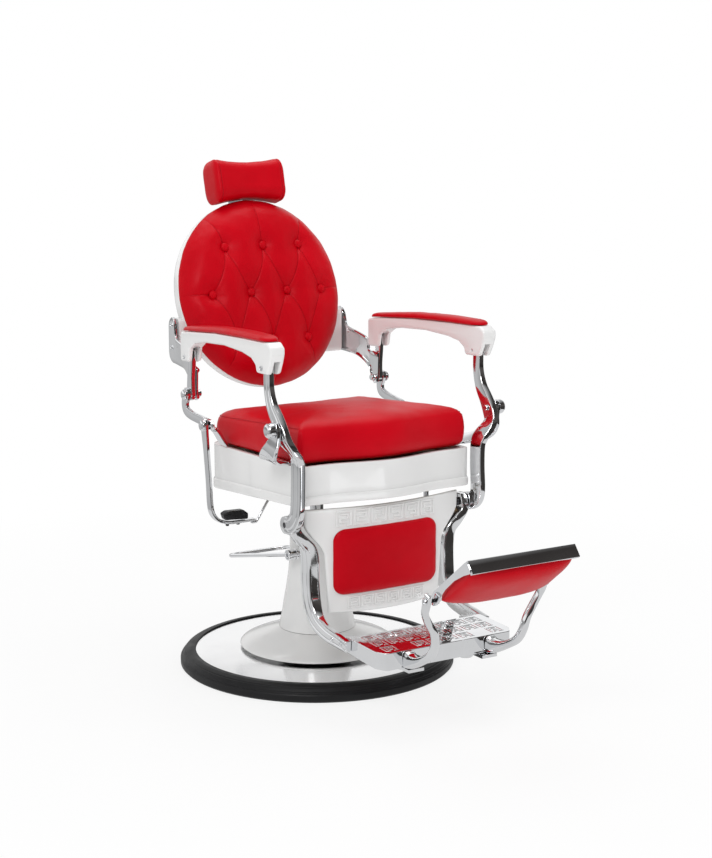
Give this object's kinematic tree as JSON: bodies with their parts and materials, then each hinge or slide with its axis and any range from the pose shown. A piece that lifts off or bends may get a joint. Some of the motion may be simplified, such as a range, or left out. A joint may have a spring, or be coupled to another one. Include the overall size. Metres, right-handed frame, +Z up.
{
  "type": "hydraulic barber chair",
  "caption": "Hydraulic barber chair with tufted round back, serpentine seat apron, linked armrests and legrest, folding foot cushion and round base.",
  "frame": {"origin": "on the floor at the centre of the round base", "axes": "+Z up, the sitter faces -Y, +X is the sitter's left"},
  "size_m": [0.66, 1.2493, 1.1896],
  "materials": {
    "chrome": "mirror-bright chrome plating on cast and bent steel",
    "polished_casting": "chromed and mirror-polished aluminium casting",
    "white_casting": "high-gloss white enamel over an aluminium casting",
    "polished_steel": "polished plate with a faint turned grain",
    "rubber": "satin black moulded rubber",
    "dark_steel": "satin dark paint on hidden steelwork",
    "white_enamel": "high-gloss white enamel over cast metal",
    "red_leather": "semi-gloss red upholstery leather with fine grain",
    "plywood": "unfinished plywood under the upholstery",
    "black_plastic": "satin black plastic"
  },
  "bodies": {
    "base": {"base_plate": "polished_steel", "rubber_rim": "rubber", "pump_socket": "dark_steel"},
    "pump": {"swivel_bearing": "dark_steel", "pump_cylinder": "dark_steel", "column_cover": "white_enamel", "skirt": "white_enamel"},
    "pump_lever": {"lever_shaft": "chrome", "pump_lever": "chrome"},
    "seat": {"ram": "chrome", "seat_subframe": "dark_steel", "seat_board": "plywood", "seat_apron": "white_casting", "seat_cushion": "red_leather", "front_bracket_left": "chrome", "front_bracket_right": "chrome", "front_pivot_left": "chrome", "front_pivot_right": "chrome", "rear_arm_left": "chrome", "rear_arm_right": "chrome", "rear_pivot_left": "chrome", "rear_pivot_right": "chrome", "recline_lock": "dark_steel"},
    "recline_handle": {"recline_handle": "chrome", "handle_grip": "black_plastic", "release_rod": "chrome"},
    "backrest": {"back_cushion": "red_leather", "back_shell": "white_casting", "back_board": "plywood", "back_bracket_left": "polished_casting", "back_bracket_right": "polished_casting", "rear_post_left": "chrome", "rear_post_right": "chrome", "headrest_socket": "chrome"},
    "headrest_slide": {"headrest_bar": "chrome"},
    "headrest": {"headrest_plate": "chrome", "headrest_cushion": "red_leather"},
    "front_links": {"front_link_left": "polished_casting", "front_link_right": "polished_casting", "knee_pin_left": "dark_steel", "knee_pin_right": "dark_steel", "arm_screw_left": "chrome", "arm_screw_right": "chrome"},
    "armrests": {"armrest_left": "white_casting", "armrest_right": "white_casting", "arm_pad_left": "red_leather", "arm_pad_right": "red_leather"},
    "legrest": {"leg_arm_left": "polished_casting", "leg_arm_right": "polished_casting", "calf_panel": "white_casting", "calf_pad": "red_leather", "calf_stop": "chrome", "footplate": "polished_casting", "yoke_arm_left": "polished_casting", "yoke_arm_right": "polished_casting", "foot_pin_left": "black_plastic", "foot_pin_right": "black_plastic"},
    "foot_cushion": {"foot_tray": "chrome", "foot_pad": "red_leather"}
  },
  "joints": [
    {"name": "swivel", "type": "hinge", "parent": "base", "child": "pump", "pos_m": [0, 0, 0.05], "axis": [0, 0, 1], "continuous": true},
    {"name": "pump_pedal", "type": "hinge", "parent": "pump", "child": "pump_lever", "pos_m": [0, -0.03, 0.279], "axis": [-1, 0, 0], "range_deg": [0, 18]},
    {"name": "seat_lift", "type": "slide", "parent": "pump", "child": "seat", "axis": [0, 0, 1], "range_m": [0, 0.15]},
    {"name": "recline_release", "type": "hinge", "parent": "seat", "child": "recline_handle", "pos_m": [0, 0.034, 0.597], "axis": [1, 0, 0], "range_deg": [0, 10]},
    {"name": "recline", "type": "hinge", "parent": "seat", "child": "backrest", "pos_m": [0, 0.135, 0.655], "axis": [-1, 0, 0], "range_deg": [0, 45]},
    {"name": "front_link_swing", "type": "hinge", "parent": "seat", "child": "front_links", "pos_m": [0, -0.316, 0.64], "axis": [-1, 0, 0], "range_deg": [0, 34.52]},
    {"name": "armrest_tilt", "type": "hinge", "parent": "front_links", "child": "armrests", "pos_m": [0, -0.268, 0.768], "axis": [1, 0, 0], "range_deg": [0, 38.48]},
    {"name": "legrest_swing", "type": "hinge", "parent": "front_links", "child": "legrest", "pos_m": [0, -0.281, 0.4205], "axis": [-1, 0, 0], "range_deg": [0, 13.6]},
    {"name": "foot_cushion_fold", "type": "hinge", "parent": "legrest", "child": "foot_cushion", "pos_m": [0, -0.693, 0.332], "axis": [-1, 0, 0], "range_deg": [0, 140]},
    {"name": "headrest_height", "type": "slide", "parent": "backrest", "child": "headrest_slide", "axis": [0, 0.2706, 0.9627], "range_m": [0, 0.09]},
    {"name": "headrest_tilt", "type": "hinge", "parent": "headrest_slide", "child": "headrest", "pos_m": [0, 0.4094, 1.11763], "axis": [-1, 0, 0], "range_deg": [0, 25]}
  ],
  "couplings": [
    {"joint": "front_link_swing", "follows": "recline", "ratio": 0.765},
    {"joint": "armrest_tilt", "follows": "recline", "ratio": 0.853},
    {"joint": "legrest_swing", "follows": "recline", "ratio": 0.3}
  ]
}
